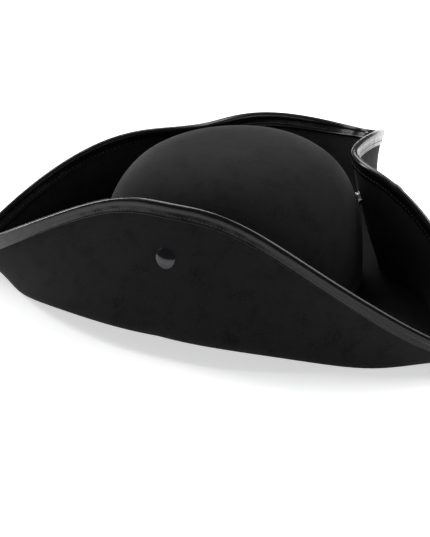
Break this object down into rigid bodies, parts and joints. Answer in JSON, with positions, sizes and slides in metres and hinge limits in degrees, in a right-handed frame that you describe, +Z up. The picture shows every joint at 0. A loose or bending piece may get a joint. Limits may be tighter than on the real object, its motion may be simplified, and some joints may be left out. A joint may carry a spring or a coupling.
{
  "type": "tricorn hat",
  "caption": "Stiff black felt tricorn hat with a round domed crown, three riveted upturned flaps and a glossy bound, wired edge.",
  "frame": {"origin": "centre of the head opening, on the middle plane of the brim felt where it meets the crown", "axes": "+Z up through the crown, -Y to the front, +Y to the rear corner of the brim, +X to the wearer's left"},
  "size_m": [0.4064, 0.34, 0.1189],
  "materials": {
    "felt": "stiffened black wool felt, matt with a faint nap",
    "binding": "black satin-gloss coated binding tape",
    "wire": "bright drawn steel wire",
    "joiner": "plain brass sleeve",
    "thread": "black polyester sewing thread",
    "sweatband": "black ribbed cotton and rayon band",
    "label": "blank off-white woven tape",
    "rivet": "polished black nickel",
    "spacer": "bright spun aluminium"
  },
  "bodies": {
    "root": {"crown": "felt", "brim": "felt", "brim_binding": "binding", "brim_wire": "wire", "wire_joiner": "joiner", "binding_stitching": "thread", "headline_stitching": "thread", "sweatband": "sweatband", "sweatband_stitching": "thread", "care_label": "label", "front_rivet_stud": "rivet", "front_rivet_back": "rivet", "front_spacer": "spacer", "left_rivet_stud": "rivet", "left_rivet_back": "rivet", "left_spacer": "spacer", "right_rivet_stud": "rivet", "right_rivet_back": "rivet", "right_spacer": "spacer"}
  },
  "joints": []
}
